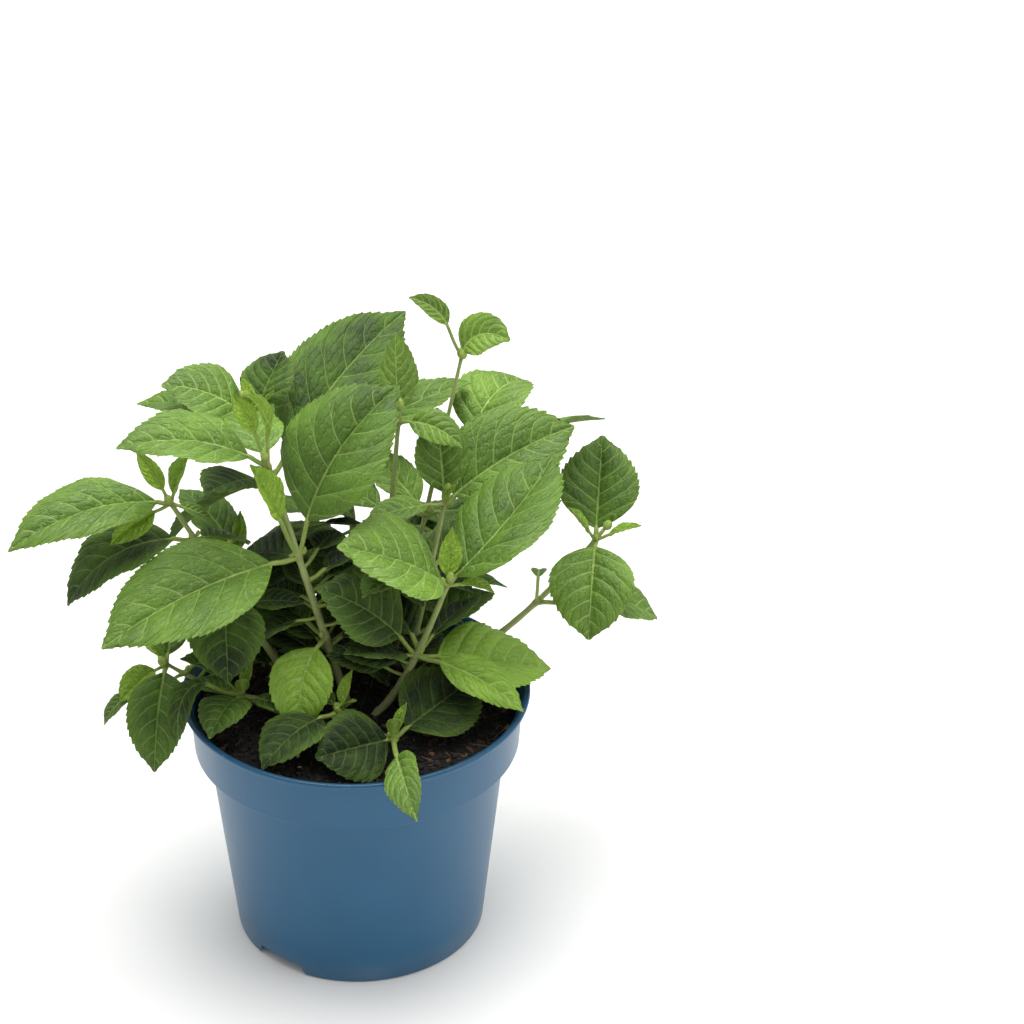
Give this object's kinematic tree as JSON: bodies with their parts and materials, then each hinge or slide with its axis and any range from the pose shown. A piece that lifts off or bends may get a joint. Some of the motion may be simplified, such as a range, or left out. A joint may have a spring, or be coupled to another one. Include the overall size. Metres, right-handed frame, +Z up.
{
  "type": "potted hydrangea shrub",
  "caption": "Young leafy hydrangea in a round tapered plastic nursery pot, with upright green stems, broad pointed leaves in pairs and soil up to the rim.",
  "frame": {"origin": "centre of the pot's flat underside", "axes": "+Z up along the pot's axis, -Y towards the side with the lowest leaves over the rim, +X to the right of that side"},
  "size_m": [0.3488, 0.2813, 0.3583],
  "materials": {
    "pot": "steel blue moulded plastic with a soft sheen",
    "soil": "dark peat and bark crumbs",
    "stem": "smooth pale green young bark",
    "leaf": "mid green, veined, slightly glossy"
  },
  "bodies": {
    "root": {"pot": "pot", "soil": "soil", "stem_front_left": "stem", "stem_front_right": "stem", "stem_left": "stem", "stem_back_left": "stem", "stem_sprig": "stem", "stem_middle_back": "stem", "stem_middle_right": "stem", "stem_back_right": "stem", "stem_right": "stem", "stem_low_left": "stem", "stem_low_front_left": "stem", "stem_low_front": "stem", "stem_low_front_stub": "stem", "stem_back": "stem", "stem_far_right": "stem", "stem_far_left": "stem", "foliage_front_left": "leaf", "foliage_front_right": "leaf", "foliage_left": "leaf", "foliage_back_left": "leaf", "foliage_sprig": "leaf", "foliage_middle_back": "leaf", "foliage_middle_right": "leaf", "foliage_back_right": "leaf", "foliage_right": "leaf", "foliage_low_left": "leaf", "foliage_low_front_left": "leaf", "foliage_low_front": "leaf", "foliage_low_front_stub": "leaf", "foliage_back": "leaf", "foliage_far_right": "leaf", "foliage_far_left": "leaf"}
  },
  "joints": []
}
